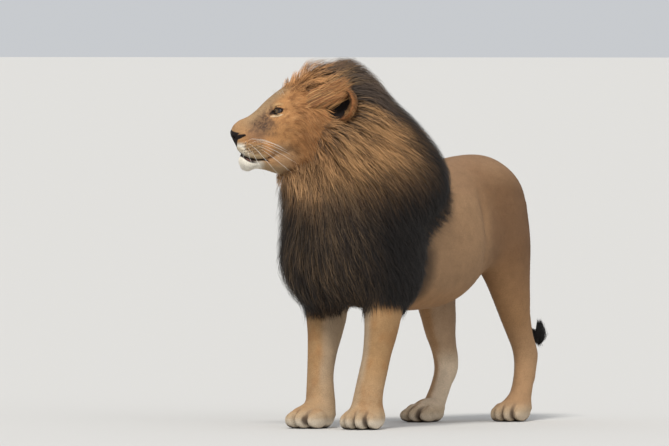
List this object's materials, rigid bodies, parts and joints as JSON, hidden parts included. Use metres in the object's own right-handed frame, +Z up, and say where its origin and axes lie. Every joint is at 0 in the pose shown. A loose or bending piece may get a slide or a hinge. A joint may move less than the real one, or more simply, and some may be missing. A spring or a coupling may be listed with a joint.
{
  "type": "lion",
  "caption": "Life-size standing male lion with a full dark mane, its head turned to its right and its tail hanging with the tuft curled up.",
  "frame": {"origin": "on the floor under the middle of the lion's bounding box", "axes": "+Z up, +X to the lion's own left, +Y from the chest towards the tail"},
  "size_m": [0.62, 1.6138, 1.4174],
  "materials": {
    "tan_coat": "short tan fur",
    "face_coat": "short ginger fur",
    "mane_hair": "long dark brown and golden hair",
    "leg_coat": "short golden fur",
    "tuft_hair": "black hair",
    "eye_amber": "wet gloss"
  },
  "bodies": {
    "root": {"head": "face_coat", "neck_mane": "mane_hair", "trunk": "tan_coat", "tail": "tan_coat", "tail_tuft": "tuft_hair", "ear_left": "face_coat", "ear_right": "face_coat", "eye_left": "eye_amber", "eye_right": "eye_amber", "foreleg_left": "leg_coat", "foreleg_right": "leg_coat", "fore_paw_left": "leg_coat", "fore_paw_right": "leg_coat", "hindleg_left": "tan_coat", "hindleg_right": "tan_coat", "hind_paw_left": "tan_coat", "hind_paw_right": "tan_coat"}
  },
  "joints": []
}
